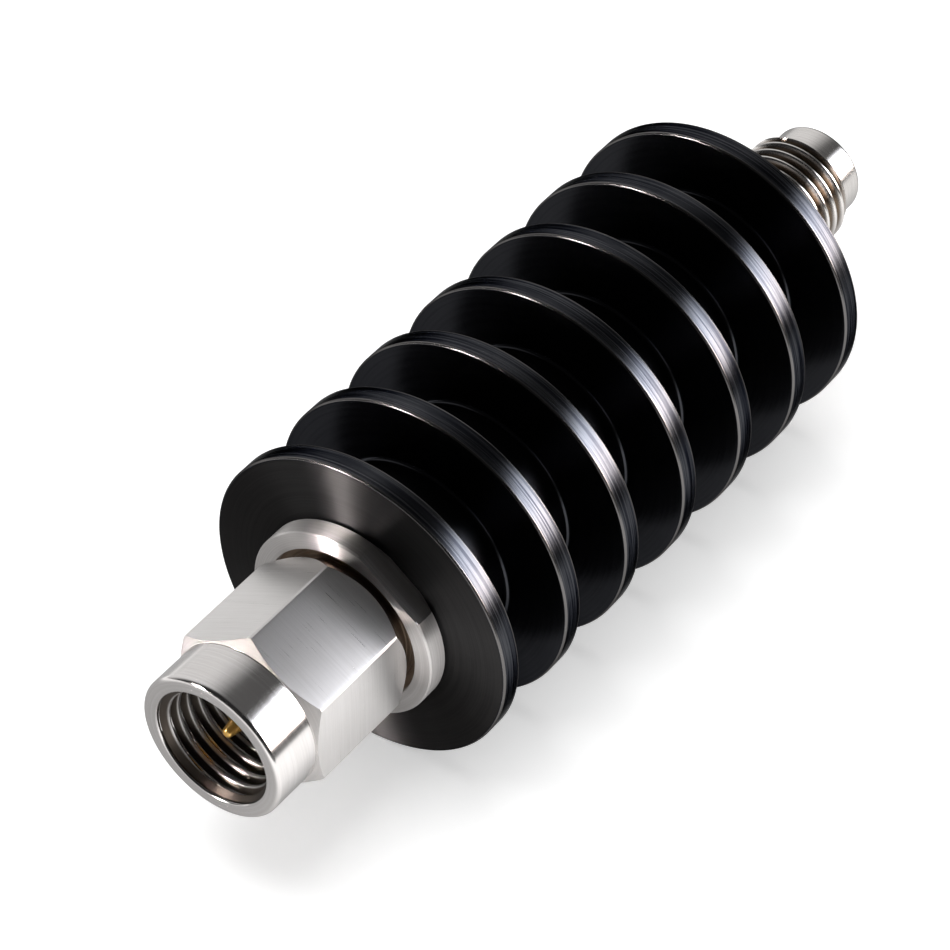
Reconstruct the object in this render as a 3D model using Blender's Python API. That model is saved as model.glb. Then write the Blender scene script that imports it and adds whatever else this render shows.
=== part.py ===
"""Fixed coaxial attenuator: a finned heat sink between a screw-on plug and a threaded jack.

The axis runs along +X from the plug to the jack, and +Z is up. The origin is the centre of the
plug's reference face, where its outer conductor meets the one of the mating connector.
Sizes are in millimetres and are turned into metres by MM where the meshes are made.
"""
import math

import bmesh
import bpy
from mathutils import Matrix, Vector

MM = 0.001

# Roundness of the turned pieces
BODY_SEGMENTS = 36
NUT_SEGMENTS = 36
INNER_SEGMENTS = 24
ROUND_STEPS = 3
FILLET_STEPS = 2
LEAST_FACET = 0.06       # a thread's points nearer than this to a plain ring join it

# Clearances
SEAT_GAP = 0.02          # between faces that are clamped together
FIT_GAP = 0.03           # radial, between pieces pressed or bonded together
THREAD_GAP = 0.05        # radial, between a threaded stub and its hole
RUNNING_GAP = 0.08       # radial, between the nut and the barrel it turns on
RING_SIDE_GAP = 0.03     # each side of the snap ring in the nut's groove
RING_EDGE_GAP = 0.05     # radial, each side of the snap ring
GASKET_GAP = 0.10        # radial, between the gasket and the nut

# Heat sink
FIN_COUNT = 7
FIN_PITCH = 4.90
FIN_THICKNESS = 1.16
FIN_DIAMETER = 16.80
FIN_CHAMFER = 0.12
HUB_DIAMETER = 10.10
ROOT_FILLET = 0.20

# Interface shared by the plug and the jack: an air line with a 3.5 mm bore, under a 1/4-36 thread
CONDUCTOR_DIAMETER = 1.52
SPIGOT_DIAMETER = 4.60
BEAD_LEDGE = 0.40        # radial, the seat that stops the bead
BEAD_SETBACK = 3.00      # from the reference face to the bead
BEAD_THICKNESS = 1.58
BEAD_WAIST = 1.10        # diameter of the conductor inside the bead

# The right-handed 1/4-36 thread of the nut and the jack, with flats as shares of its pitch
THREAD_PITCH = 25.4 / 36
THREAD_DEPTH = 0.375
OUTER_FLAT = 1 / 8
INNER_FLAT = 1 / 4

# Flanges with their wrench flats, and the stubs that screw into the heat sink
FLANGE_DIAMETER = 10.38
FLANGE_THICKNESS = 1.31
FLANGE_CHAMFER = 0.08
FLATS_ACROSS = 9.50
FLATS_ANGLE = 126.0      # of the flats' normal, from +Y towards +Z
UNDERCUT_WIDTH = 0.24
UNDERCUT_DEPTH = 0.33
STUB_DIAMETER = 7.70
STUB_LENGTH = 7.00
STUB_CHAMFER = 0.25
SINK_FACE_CHAMFER = 0.15

# Plug shell
SPIGOT_LENGTH = 2.87
SPIGOT_CHAMFER = 0.10
BARREL_DIAMETER = 5.40
BARREL_LENGTH = 4.00
BARREL_WALL = 0.30       # between the bead's pocket and the snap ring's groove
RECESS_DIAMETER = 8.52
RECESS_DEPTH = 0.60
RECESS_FILLET = 0.25

# Coupling nut, its snap ring and its gasket
NUT_REACH = 3.40         # how far it stands out in front of the reference face
NUT_FLANGE_GAP = 0.17
HEX_ACROSS = 8.00
HEX_CORNER_DIAMETER = 9.08
NOSE_DIAMETER = 7.90
NOSE_LENGTH = 2.74
FRONT_CHAMFER_ANGLE = 37.0
REAR_CHAMFER_ANGLE = 48.0
REAR_FACE_DIAMETER = 7.80
LIP_ROUND = 0.40
MOUTH_ROUND = 0.30
MOUTH_DIAMETER = 6.28
NUT_THREAD_BORE = 5.60
THREAD_RUNOUT = 0.35     # from the thread's end to the gasket's front face
NUT_REAR_CHAMFER = 0.15
NUT_FLOAT = 0.20         # end play each way, taken up in the barrel's groove
RING_OFFSET = 1.63       # from the barrel's shoulder to the middle of the ring
RING_WIDTH = 0.50
RING_SECTION = 0.50      # radial
RING_BITE = 0.25         # depth of the groove in the barrel
RING_OPENING = 30.0      # degrees that the ring is open
GASKET_THICKNESS = 0.80
GASKET_DIAMETER = 6.40
GASKET_ROUND = 0.12

# Plug pin
PIN_REACH = 2.27
PIN_DIAMETER = 0.92
PIN_TIP_DIAMETER = 0.54
PIN_TIP_ROUND = 0.12
PIN_TAPER = 1.50
PIN_SETBACK = 0.05       # of its shoulder behind the reference face

# Jack shell and socket
NECK_LENGTH = 0.90
JACK_THREAD_DIAMETER = 6.26
JACK_THREAD_LENGTH = 5.80
COLLAR_DIAMETER = 5.24
COLLAR_LENGTH = 1.51
COLLAR_ROUND = 0.12
JACK_RECESS = 1.95       # from the collar's end to the jack's reference face
RECESS_FIT = 0.03        # radial, between a plug's spigot and the recess
SOCKET_BORE = 0.96
SOCKET_DEPTH = 2.40
SLOT_WIDTH = 0.20
SLOT_LENGTH = 1.90
SOCKET_MOUTH = 0.08

# Contacts between the centre conductors and the chip
TAIL_DIAMETER = 1.00
TAIL_LENGTH = 1.50
CONTACT_FLOOR = 0.30
TONGUE_WIDTH = 1.00
TONGUE_THICKNESS = 0.12
TONGUE_REACH = 1.70      # over the chip
CHIP_PAD_INSET = 0.24    # from the carrier's end to the chip's end
CONTACT_STANDOFF = 0.60  # from the contact's floor to the chip's end

# Ground washers, carrier, springs and chip
WASHER_THICKNESS = 0.30
CARRIER_DIAMETER = 6.50
CHIP_WIDTH = 5.00
CHIP_THICKNESS = 0.64
CHIP_EDGE = 0.04
POCKET_SIDE_GAP = 0.05
CHANNEL_WIDTH = 2.40
CHANNEL_HEIGHT = 1.60    # above the axis
SPRING_HEIGHT = 0.44
SPRING_THICKNESS = 0.08
SPRING_WIDTH = 0.90
SPRING_WAVES = 7
SPRING_STEPS = 5         # points along each wave
SPRING_END_GAP = 0.60
JOINT_GAP = 0.02         # between the two halves of the carrier

# Colours with alpha, roughness and metallic value
STEEL = ((0.62, 0.60, 0.58, 1.0), 0.28, 1.0)
BLACK_ANODISED = ((0.015, 0.015, 0.017, 1.0), 0.38, 0.6)
GOLD = ((0.86, 0.60, 0.20, 1.0), 0.22, 1.0)
BRASS = ((0.70, 0.52, 0.24, 1.0), 0.35, 1.0)
ALUMINIUM = ((0.78, 0.78, 0.79, 1.0), 0.35, 1.0)
CERAMIC = ((0.86, 0.85, 0.82, 1.0), 0.55, 0.0)
AMBER_PLASTIC = ((0.55, 0.30, 0.08, 1.0), 0.35, 0.0)
RUBBER = ((0.05, 0.05, 0.05, 1.0), 0.70, 0.0)

# Places along the axis, from the plug's reference face
shoulder = SPIGOT_LENGTH
recess_floor = shoulder + BARREL_LENGTH
flange_front = recess_floor - RECESS_DEPTH
plug_seat = flange_front + FLANGE_THICKNESS
sink_front = plug_seat + SEAT_GAP
sink_length = (FIN_COUNT - 1) * FIN_PITCH + FIN_THICKNESS
sink_rear = sink_front + sink_length
jack_seat = sink_rear + SEAT_GAP
plug_stub_end = plug_seat + STUB_LENGTH
jack_stub_end = jack_seat - STUB_LENGTH
front_step = plug_stub_end + SEAT_GAP
rear_step = jack_stub_end - SEAT_GAP
carrier_front = front_step + WASHER_THICKNESS + SEAT_GAP
carrier_rear = rear_step - WASHER_THICKNESS - SEAT_GAP
chip_front = carrier_front + CHIP_PAD_INSET
chip_rear = carrier_rear - CHIP_PAD_INSET
jack_flange_end = jack_seat + FLANGE_THICKNESS
jack_thread_start = jack_flange_end + NECK_LENGTH
jack_thread_end = jack_thread_start + JACK_THREAD_LENGTH
jack_end = jack_thread_end + COLLAR_LENGTH
jack_reference = jack_end - JACK_RECESS
ring_middle = shoulder + RING_OFFSET
nut_front = -NUT_REACH
nut_rear = flange_front - NUT_FLANGE_GAP
gasket_rear = shoulder - SEAT_GAP
gasket_front = gasket_rear - GASKET_THICKNESS

# Diameters and radii worked out from the sizes above
pocket_diameter = BARREL_DIAMETER - 2 * (RING_BITE + BARREL_WALL)
air_line_bore = pocket_diameter - 2 * BEAD_LEDGE
bead_radius = pocket_diameter / 2 - FIT_GAP
ring_inner = BARREL_DIAMETER / 2 - RING_BITE + RING_EDGE_GAP
ring_outer = ring_inner + RING_SECTION
chip_top = CHIP_THICKNESS / 2
pocket_top = chip_top + SPRING_HEIGHT + 2 * SEAT_GAP


def clear_scene():
    for obj in list(bpy.data.objects):
        bpy.data.objects.remove(obj, do_unlink=True)


def make_material(name, look):
    colour, roughness, metallic = look
    material = bpy.data.materials.new(name)
    material.use_nodes = True
    shader = material.node_tree.nodes["Principled BSDF"]
    shader.inputs["Base Color"].default_value = colour
    shader.inputs["Roughness"].default_value = roughness
    shader.inputs["Metallic"].default_value = metallic
    material.diffuse_color = colour
    return material


def finish_mesh(name, bm, look, sharp_angle=32.0):
    """Close the bmesh into a named object with its own material and smooth round faces."""
    bmesh.ops.recalc_face_normals(bm, faces=bm.faces)
    mesh = bpy.data.meshes.new(name)
    bm.to_mesh(mesh)
    bm.free()
    mesh.materials.append(make_material(name, look))
    mesh.shade_smooth()
    mesh.set_sharp_from_angle(angle=math.radians(sharp_angle))
    obj = bpy.data.objects.new(name, mesh)
    bpy.context.scene.collection.objects.link(obj)
    return obj


def arc(x, r, radius, start, end, steps=ROUND_STEPS):
    """Points on an arc in the axis-radius plane, with 0 degrees along +X and 90 outward."""
    points = []
    for step in range(steps + 1):
        angle = math.radians(start + (end - start) * step / steps)
        points.append((x + radius * math.cos(angle), r + radius * math.sin(angle)))
    return points


def turned_mesh(outline, segments, sweep=360.0, closed=True):
    """Spin an outline of (x, radius) points about the X axis.

    A closed outline makes a ring. An outline whose two ends lie on the axis makes a solid bar.
    A sweep under 360 degrees makes an open ring with flat ends. An outline that isn't closed
    leaves a gap between its two end rings, which a thread fills.
    """
    bm = bmesh.new()
    verts = [bm.verts.new(Vector((x, 0.0, r)) * MM) for x, r in outline]
    solid_bar = outline[0][1] == 0.0 and outline[-1][1] == 0.0
    whole_turn = sweep == 360.0
    edges = [bm.edges.new(pair) for pair in zip(verts, verts[1:])]
    if closed and not solid_bar:
        edges.append(bm.edges.new((verts[-1], verts[0])))
    geometry = verts + edges
    if not whole_turn:
        geometry.append(bm.faces.new(verts))
    bmesh.ops.spin(bm, geom=geometry, cent=(0, 0, 0), axis=(1, 0, 0), dvec=(0, 0, 0),
                   angle=math.radians(sweep), steps=segments, use_merge=whole_turn)
    bmesh.ops.remove_doubles(bm, verts=bm.verts, dist=1e-4 * MM)
    return bm


def turned(name, outline, look, segments=INNER_SEGMENTS, sweep=360.0):
    return finish_mesh(name, turned_mesh(outline, segments, sweep), look)


def wind_thread(bm, start, end, inner, outer, segments, internal=False):
    """Fill the gap between two rings of a turned mesh with a right-handed thread.

    start and end are the rings' (x, radius), inner and outer the thread's radii. The rows of
    points follow the helix, and beside each ring a cone of 45 degrees cuts the crests down to it.
    """
    profile = [(0.25 - INNER_FLAT / 2, inner), (0.25 + INNER_FLAT / 2, inner),
               (0.75 - OUTER_FLAT / 2, outer), (0.75 + OUTER_FLAT / 2, outer)]
    side = -1 if internal else 1
    made = {}

    def corner(row, column):
        """The vertex where a row meets a column. Past a ring it is the ring's own."""
        turn, step = divmod(row, len(profile))
        phase, radius = profile[step]
        x = start[0] + (turn + phase + column / segments) * THREAD_PITCH
        place = column % segments
        if x < start[0] + LEAST_FACET:
            key = ("start", place)
            x, radius = start
        elif x > end[0] - LEAST_FACET:
            key = ("end", place)
            x, radius = end
        else:
            key = (row + column // segments * len(profile), place)
            cone = min(side * start[1] + x - start[0], side * end[1] + end[0] - x)
            radius = side * min(side * radius, cone)
        if key not in made:
            around = Matrix.Rotation(2 * math.pi * place / segments, 3, "X")
            made[key] = bm.verts.new(around @ Vector((x, 0.0, radius)) * MM)
        return made[key]

    turns = math.ceil((end[0] - start[0]) / THREAD_PITCH)
    for row in range(-2 * len(profile), turns * len(profile)):
        for column in range(segments):
            quad = (corner(row, column), corner(row, column + 1),
                    corner(row + 1, column + 1), corner(row + 1, column))
            corners = list(dict.fromkeys(quad))
            for second, third in zip(corners[1:], corners[2:]):
                bm.faces.new((corners[0], second, third))
    bmesh.ops.remove_doubles(bm, verts=bm.verts, dist=1e-4 * MM)


def extruded_mesh(outline, direction, length, start=0.0):
    """Extrude a flat outline of (a, b) points, in millimetres, along X or along Y.

    Along X the points are (y, z), and along Y they are (x, z).
    """
    bm = bmesh.new()
    if direction == "X":
        verts = [bm.verts.new(Vector((start, a, b)) * MM) for a, b in outline]
        step = Vector((length, 0, 0)) * MM
    else:
        verts = [bm.verts.new(Vector((a, start, b)) * MM) for a, b in outline]
        step = Vector((0, length, 0)) * MM
    face = bm.faces.new(verts)
    moved = bmesh.ops.extrude_face_region(bm, geom=[face], use_keep_orig=True)
    new_verts = [item for item in moved["geom"] if isinstance(item, bmesh.types.BMVert)]
    bmesh.ops.translate(bm, verts=new_verts, vec=step)
    return bm


def box_mesh(low, high):
    """A block between two corners given in millimetres."""
    bm = bmesh.new()
    bmesh.ops.create_cube(bm, size=1.0)
    size = Vector(high) - Vector(low)
    middle = (Vector(high) + Vector(low)) / 2
    bmesh.ops.scale(bm, vec=size * MM, verts=bm.verts)
    bmesh.ops.translate(bm, vec=middle * MM, verts=bm.verts)
    return bm


def add_tool(name, bm, target, operation):
    """Keep a cutter or a filler as a hidden guide object and apply it as a Boolean modifier."""
    bmesh.ops.recalc_face_normals(bm, faces=bm.faces)
    mesh = bpy.data.meshes.new(name)
    bm.to_mesh(mesh)
    bm.free()
    tool = bpy.data.objects.new(name, mesh)
    bpy.context.scene.collection.objects.link(tool)
    tool.hide_render = True
    tool.display_type = "WIRE"
    modifier = target.modifiers.new(name, "BOOLEAN")
    modifier.operation = operation
    modifier.solver = "EXACT"
    modifier.object = tool
    return tool


def heat_sink():
    """One turned bar: seven round fins on a hub, bored for the two stubs and the carrier."""
    fin_radius = FIN_DIAMETER / 2
    hub_radius = HUB_DIAMETER / 2
    stub_hole = STUB_DIAMETER / 2 + THREAD_GAP
    carrier_hole = CARRIER_DIAMETER / 2 + THREAD_GAP
    outline = [(sink_front, stub_hole + SINK_FACE_CHAMFER)]
    for fin in range(FIN_COUNT):
        front = sink_front + fin * FIN_PITCH
        rear = front + FIN_THICKNESS
        if fin > 0:
            outline += arc(front - ROOT_FILLET, hub_radius + ROOT_FILLET, ROOT_FILLET, 270, 360,
                           FILLET_STEPS)
        outline += [(front, fin_radius - FIN_CHAMFER), (front + FIN_CHAMFER, fin_radius),
                    (rear - FIN_CHAMFER, fin_radius), (rear, fin_radius - FIN_CHAMFER)]
        if fin < FIN_COUNT - 1:
            outline += arc(rear + ROOT_FILLET, hub_radius + ROOT_FILLET, ROOT_FILLET, 180, 270,
                           FILLET_STEPS)
    outline += [(sink_rear, stub_hole + SINK_FACE_CHAMFER), (sink_rear - SINK_FACE_CHAMFER, stub_hole),
                (rear_step, stub_hole), (rear_step, carrier_hole), (front_step, carrier_hole),
                (front_step, stub_hole), (sink_front + SINK_FACE_CHAMFER, stub_hole)]
    return turned("heat_sink", outline, BLACK_ANODISED, BODY_SEGMENTS)


def cut_flats(obj, low, high):
    """Mill two parallel wrench flats across a flange between two places on the axis."""
    reach = FLANGE_DIAMETER
    turn = Matrix.Rotation(math.radians(FLATS_ANGLE), 4, "X")
    for side, sign in (("a", 1), ("b", -1)):
        near = sign * FLATS_ACROSS / 2
        far = sign * reach
        bm = box_mesh((low, min(near, far), -reach), (high, max(near, far), reach))
        bmesh.ops.transform(bm, matrix=turn, verts=bm.verts)
        add_tool("cut_" + obj.name + "_flat_" + side, bm, obj, "DIFFERENCE")


def plug_shell():
    """Spigot, grooved barrel, recessed flange and threaded stub, bored for bead and bushing."""
    bore = air_line_bore / 2
    pocket = pocket_diameter / 2
    spigot = SPIGOT_DIAMETER / 2
    barrel = BARREL_DIAMETER / 2
    groove = barrel - RING_BITE
    groove_half = RING_WIDTH / 2 + NUT_FLOAT + RING_SIDE_GAP
    recess = RECESS_DIAMETER / 2
    flange = FLANGE_DIAMETER / 2
    neck = flange - UNDERCUT_DEPTH
    stub = STUB_DIAMETER / 2
    outline = [(0.0, bore), (0.0, spigot - SPIGOT_CHAMFER), (SPIGOT_CHAMFER, spigot),
               (shoulder, spigot), (shoulder, barrel),
               (ring_middle - groove_half, barrel), (ring_middle - groove_half, groove),
               (ring_middle + groove_half, groove), (ring_middle + groove_half, barrel)]
    outline += arc(recess_floor - RECESS_FILLET, barrel + RECESS_FILLET, RECESS_FILLET, 270, 360,
                   FILLET_STEPS)
    outline += arc(recess_floor - RECESS_FILLET, recess - RECESS_FILLET, RECESS_FILLET, 0, 90,
                   FILLET_STEPS)
    outline += [(flange_front, recess), (flange_front, flange - FLANGE_CHAMFER),
                (flange_front + FLANGE_CHAMFER, flange), (plug_seat - UNDERCUT_WIDTH, flange),
                (plug_seat - UNDERCUT_WIDTH, neck), (plug_seat, neck), (plug_seat, stub),
                (plug_stub_end - STUB_CHAMFER, stub), (plug_stub_end, stub - STUB_CHAMFER),
                (plug_stub_end, pocket), (BEAD_SETBACK, pocket), (BEAD_SETBACK, bore)]
    shell = turned("plug_shell", outline, STEEL, BODY_SEGMENTS)
    cut_flats(shell, flange_front - FLANGE_THICKNESS, plug_seat + SEAT_GAP / 2)
    return shell


def jack_shell():
    """Stub, flange, helical thread and plain collar, bored like the plug.

    The outline runs round the section from the rear end of the thread to its front end.
    """
    bore = air_line_bore / 2
    pocket = pocket_diameter / 2
    flange = FLANGE_DIAMETER / 2
    undercut = flange - UNDERCUT_DEPTH
    stub = STUB_DIAMETER / 2
    crest = JACK_THREAD_DIAMETER / 2
    root = crest - THREAD_DEPTH
    collar = COLLAR_DIAMETER / 2
    recess = SPIGOT_DIAMETER / 2 + RECESS_FIT
    bead_front = jack_reference - BEAD_SETBACK
    outline = [(jack_thread_end, collar)]
    outline += arc(jack_end - COLLAR_ROUND, collar - COLLAR_ROUND, COLLAR_ROUND, 90, 0)
    outline += [(jack_end, recess), (jack_reference, recess), (jack_reference, bore),
                (bead_front, bore), (bead_front, pocket), (jack_stub_end, pocket),
                (jack_stub_end, stub - STUB_CHAMFER), (jack_stub_end + STUB_CHAMFER, stub),
                (jack_seat, stub), (jack_seat, undercut), (jack_seat + UNDERCUT_WIDTH, undercut),
                (jack_seat + UNDERCUT_WIDTH, flange), (jack_flange_end - FLANGE_CHAMFER, flange),
                (jack_flange_end, flange - FLANGE_CHAMFER), (jack_flange_end, root),
                (jack_thread_start, root)]
    bm = turned_mesh(outline, BODY_SEGMENTS, closed=False)
    wind_thread(bm, outline[-1], outline[0], root, crest, BODY_SEGMENTS)
    shell = finish_mesh("jack_shell", bm, STEEL)
    cut_flats(shell, jack_seat - SEAT_GAP / 2, jack_flange_end + FLANGE_THICKNESS)
    return shell


def coupling_nut():
    """Hexagon with a round nose and a helical thread in its bore, free to turn on the barrel.

    The outline of the turned blank runs from the front end of the thread, round the outside, to
    the thread's rear end. The blank is then cut to six flats.
    """
    corner = HEX_CORNER_DIAMETER / 2
    nose = NOSE_DIAMETER / 2
    mouth = MOUTH_DIAMETER / 2
    rear_face = REAR_FACE_DIAMETER / 2
    crest = NUT_THREAD_BORE / 2
    bore = BARREL_DIAMETER / 2 + RUNNING_GAP
    relief = GASKET_DIAMETER / 2 + GASKET_GAP
    groove = ring_outer + RING_EDGE_GAP
    groove_half = RING_WIDTH / 2 + RING_SIDE_GAP
    relief_start = gasket_front - THREAD_RUNOUT
    relief_end = gasket_rear + NUT_FLOAT + RING_EDGE_GAP
    nose_end = nut_front + NOSE_LENGTH
    front_cone = (corner - nose) * math.tan(math.radians(FRONT_CHAMFER_ANGLE))
    rear_cone = (corner - rear_face) * math.tan(math.radians(REAR_CHAMFER_ANGLE))
    outline = arc(nut_front + MOUTH_ROUND, mouth + MOUTH_ROUND, MOUTH_ROUND, 270, 180)
    outline += arc(nut_front + LIP_ROUND, nose - LIP_ROUND, LIP_ROUND, 180, 90)
    outline += [(nose_end, nose), (nose_end + front_cone, corner), (nut_rear - rear_cone, corner),
                (nut_rear, rear_face), (nut_rear, bore + NUT_REAR_CHAMFER),
                (nut_rear - NUT_REAR_CHAMFER, bore),
                (ring_middle + groove_half, bore), (ring_middle + groove_half, groove),
                (ring_middle - groove_half, groove), (ring_middle - groove_half, bore),
                (relief_end, bore), (relief_end, relief), (relief_start, relief)]
    bm = turned_mesh(outline, NUT_SEGMENTS, closed=False)
    wind_thread(bm, outline[0], outline[-1], crest, crest + THREAD_DEPTH, NUT_SEGMENTS, internal=True)
    nut = finish_mesh("coupling_nut", bm, STEEL)
    hexagon = bmesh.new()
    corner_radius = HEX_ACROSS / 2 / math.cos(math.pi / 6)
    bmesh.ops.create_cone(hexagon, cap_ends=True, segments=6, radius1=corner_radius * MM,
                          radius2=corner_radius * MM, depth=4 * (nut_rear - nut_front) * MM)
    bmesh.ops.transform(hexagon, matrix=Matrix.Rotation(math.pi / 2, 4, "Y"), verts=hexagon.verts)
    top_corner = max(hexagon.verts, key=lambda vert: vert.co.z).co
    lean = math.atan2(top_corner.y, top_corner.z)
    bmesh.ops.transform(hexagon, matrix=Matrix.Rotation(lean, 4, "X"), verts=hexagon.verts)
    add_tool("keep_nut_hexagon", hexagon, nut, "INTERSECT")
    return nut


def nut_snap_ring():
    """Open ring of square section that lies half in the barrel and half in the nut."""
    low = ring_middle - RING_WIDTH / 2
    high = ring_middle + RING_WIDTH / 2
    outline = [(low, ring_inner), (low, ring_outer), (high, ring_outer), (high, ring_inner)]
    return turned("nut_snap_ring", outline, BRASS, INNER_SEGMENTS, 360.0 - RING_OPENING)


def nut_gasket():
    """Soft washer on the spigot, squeezed by the end of the mating jack."""
    inner = SPIGOT_DIAMETER / 2 + FIT_GAP
    outer = GASKET_DIAMETER / 2
    outline = [(gasket_rear, inner), (gasket_front, inner)]
    outline += arc(gasket_front + GASKET_ROUND, outer - GASKET_ROUND, GASKET_ROUND, 180, 90,
                   FILLET_STEPS)
    outline += arc(gasket_rear - GASKET_ROUND, outer - GASKET_ROUND, GASKET_ROUND, 90, 0,
                   FILLET_STEPS)
    return turned("nut_gasket", outline, RUBBER)


def conductor_tail(reference, contact_floor, direction):
    """Outline of a centre conductor from its shoulder to the reduced tail in the contact."""
    full = CONDUCTOR_DIAMETER / 2
    waist = BEAD_WAIST / 2
    tail = TAIL_DIAMETER / 2
    bead_near = reference + direction * (BEAD_SETBACK + SEAT_GAP)
    bead_far = bead_near + direction * BEAD_THICKNESS
    tail_end = contact_floor - direction * SEAT_GAP
    tail_start = tail_end - direction * TAIL_LENGTH
    return [(bead_near - direction * SEAT_GAP, full), (bead_near - direction * SEAT_GAP, waist),
            (bead_far + direction * SEAT_GAP, waist), (bead_far + direction * SEAT_GAP, full),
            (tail_start, full), (tail_start, tail), (tail_end, tail), (tail_end, 0.0)]


def plug_pin():
    """Centre conductor with the tapered, rounded pin that enters the mating socket."""
    pin = PIN_DIAMETER / 2
    tip = PIN_TIP_DIAMETER / 2
    outline = [(-PIN_REACH, 0.0)]
    outline += arc(-PIN_REACH + PIN_TIP_ROUND, tip - PIN_TIP_ROUND, PIN_TIP_ROUND, 180, 90)
    outline += [(-PIN_REACH + PIN_TAPER, pin), (PIN_SETBACK, pin),
                (PIN_SETBACK, CONDUCTOR_DIAMETER / 2)]
    outline += conductor_tail(0.0, chip_front - CONTACT_STANDOFF, 1)
    return turned("plug_pin", outline, GOLD)


def jack_socket():
    """Centre conductor with the slotted, bored end that takes the mating pin."""
    full = CONDUCTOR_DIAMETER / 2
    bore = SOCKET_BORE / 2
    front = jack_reference - PIN_SETBACK
    outline = [(front - SOCKET_DEPTH, 0.0), (front - SOCKET_DEPTH, bore), (front - SOCKET_MOUTH, bore),
               (front, bore + SOCKET_MOUTH), (front, full - SOCKET_MOUTH), (front - SOCKET_MOUTH, full)]
    outline += conductor_tail(jack_reference, chip_rear + CONTACT_STANDOFF, -1)
    socket = turned("jack_socket", outline, GOLD)
    low = front - SLOT_LENGTH
    high = front + SLOT_LENGTH
    half = SLOT_WIDTH / 2
    reach = CONDUCTOR_DIAMETER
    for name, y, z in (("cut_slot_upright", half, reach), ("cut_slot_level", reach, half)):
        add_tool(name, box_mesh((low, -y, -z), (high, y, z)), socket, "DIFFERENCE")
    return socket


def bead(name, reference, direction):
    """Plastic disc that centres the conductor in the shell."""
    near = reference + direction * (BEAD_SETBACK + SEAT_GAP)
    far = near + direction * BEAD_THICKNESS
    inner = BEAD_WAIST / 2 + FIT_GAP
    outline = [(near, inner), (near, bead_radius), (far, bead_radius), (far, inner)]
    return turned(name, outline, AMBER_PLASTIC)


def bushing(name, reference, stub_end, direction):
    """Pressed-in sleeve that holds the bead and carries the outer conductor on to the carrier."""
    near = reference + direction * (BEAD_SETBACK + BEAD_THICKNESS + 2 * SEAT_GAP)
    outline = [(near, air_line_bore / 2), (near, bead_radius), (stub_end, bead_radius),
               (stub_end, air_line_bore / 2)]
    return turned(name, outline, BRASS)


def contact(name, floor, chip_end, direction):
    """Cup on the conductor's tail with a flat tongue that lies on the chip's end."""
    cup = CONDUCTOR_DIAMETER / 2
    hole = TAIL_DIAMETER / 2 + FIT_GAP
    mouth = floor - direction * (TAIL_LENGTH - SEAT_GAP)
    back = floor + direction * CONTACT_FLOOR
    outline = [(floor, 0.0), (floor, hole), (mouth, hole), (mouth, cup), (back, cup), (back, 0.0)]
    body = turned(name, outline, GOLD)
    near = floor + direction * CONTACT_FLOOR / 2
    far = chip_end + direction * TONGUE_REACH
    bottom = chip_top + SEAT_GAP
    tongue = box_mesh((min(near, far), -TONGUE_WIDTH / 2, bottom),
                      (max(near, far), TONGUE_WIDTH / 2, bottom + TONGUE_THICKNESS))
    add_tool("add_" + name + "_tongue", tongue, body, "UNION")
    return body


def ground_washer(name, face, direction):
    """Soft metal ring squeezed between a stub and the carrier."""
    near = face + direction * SEAT_GAP
    far = near + direction * WASHER_THICKNESS
    outer = CARRIER_DIAMETER / 2
    outline = [(near, air_line_bore / 2), (near, outer), (far, outer), (far, air_line_bore / 2)]
    return turned(name, outline, GOLD)


def half_round(first_angle, last_angle, cut):
    """Points (y, z) on the carrier's outside, between two angles, down to a flat at height cut."""
    radius = CARRIER_DIAMETER / 2
    lift = math.degrees(math.asin(abs(cut) / radius))
    steps = INNER_SEGMENTS // 2
    start = first_angle + lift
    end = last_angle - lift
    points = []
    for step in range(steps + 1):
        angle = math.radians(start + (end - start) * step / steps)
        points.append((radius * math.cos(angle), radius * math.sin(angle)))
    return points


def carrier_upper():
    """Upper half of the split carrier, with a pocket for the springs and an air channel."""
    pocket = CHIP_WIDTH / 2 + POCKET_SIDE_GAP
    channel = CHANNEL_WIDTH / 2
    outline = half_round(0, 180, JOINT_GAP / 2)
    outline += [(-pocket, JOINT_GAP / 2), (-pocket, pocket_top), (-channel, pocket_top),
                (-channel, CHANNEL_HEIGHT), (channel, CHANNEL_HEIGHT), (channel, pocket_top),
                (pocket, pocket_top), (pocket, JOINT_GAP / 2)]
    bm = extruded_mesh(outline, "X", carrier_rear - carrier_front, carrier_front)
    return finish_mesh("carrier_upper", bm, ALUMINIUM)


def carrier_lower():
    """Lower half of the split carrier, with the seat that takes the heat from the chip."""
    pocket = CHIP_WIDTH / 2 + POCKET_SIDE_GAP
    seat = -chip_top - SEAT_GAP
    outline = half_round(180, 360, JOINT_GAP / 2)
    outline += [(pocket, -JOINT_GAP / 2), (pocket, seat), (-pocket, seat), (-pocket, -JOINT_GAP / 2)]
    bm = extruded_mesh(outline, "X", carrier_rear - carrier_front, carrier_front)
    return finish_mesh("carrier_lower", bm, ALUMINIUM)


def attenuator_chip():
    """Ceramic card that holds the resistor film, with slightly broken edges."""
    bm = box_mesh((chip_front, -CHIP_WIDTH / 2, -chip_top), (chip_rear, CHIP_WIDTH / 2, chip_top))
    bmesh.ops.bevel(bm, geom=bm.edges, offset=CHIP_EDGE * MM, segments=1, affect="EDGES")
    return finish_mesh("attenuator_chip", bm, CERAMIC)


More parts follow.
